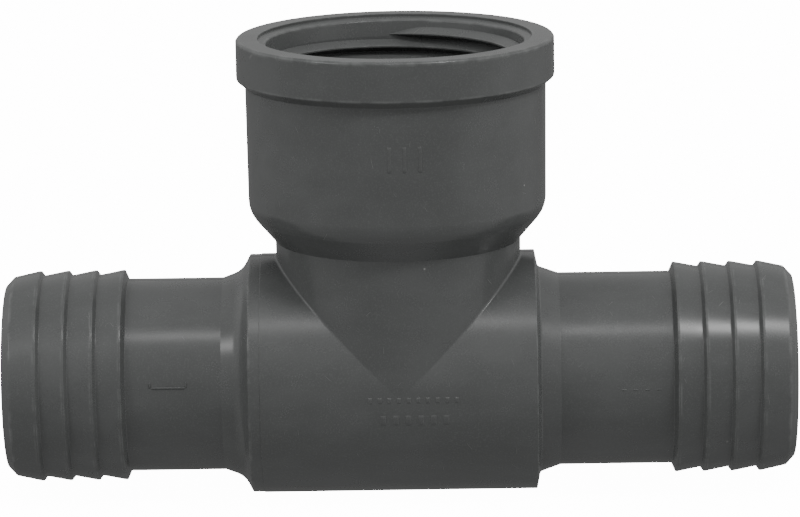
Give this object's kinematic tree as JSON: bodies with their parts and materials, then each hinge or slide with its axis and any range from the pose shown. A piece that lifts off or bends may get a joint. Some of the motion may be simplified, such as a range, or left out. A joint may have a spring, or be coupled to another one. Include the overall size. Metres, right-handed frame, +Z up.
{
  "type": "pvc insert tee fitting",
  "caption": "Moulded PVC tee: barbed insert spigots at both ends of the run and a female pipe-threaded socket with a reinforcing band on the branch.",
  "frame": {"origin": "crossing of the run axis and the branch axis, at the middle of the run bore", "axes": "+X along the run towards the spigot with the longer shank, +Z up the branch out of its threaded mouth"},
  "size_m": [0.133, 0.0534, 0.0779],
  "materials": {
    "moulded_pvc": "satin dark grey, as moulded"
  },
  "bodies": {
    "root": {"run_barrel": "moulded_pvc", "left_hose_barb": "moulded_pvc", "right_hose_barb": "moulded_pvc", "branch_neck": "moulded_pvc", "threaded_socket": "moulded_pvc", "mouth_band": "moulded_pvc", "internal_thread": "moulded_pvc"}
  },
  "joints": []
}
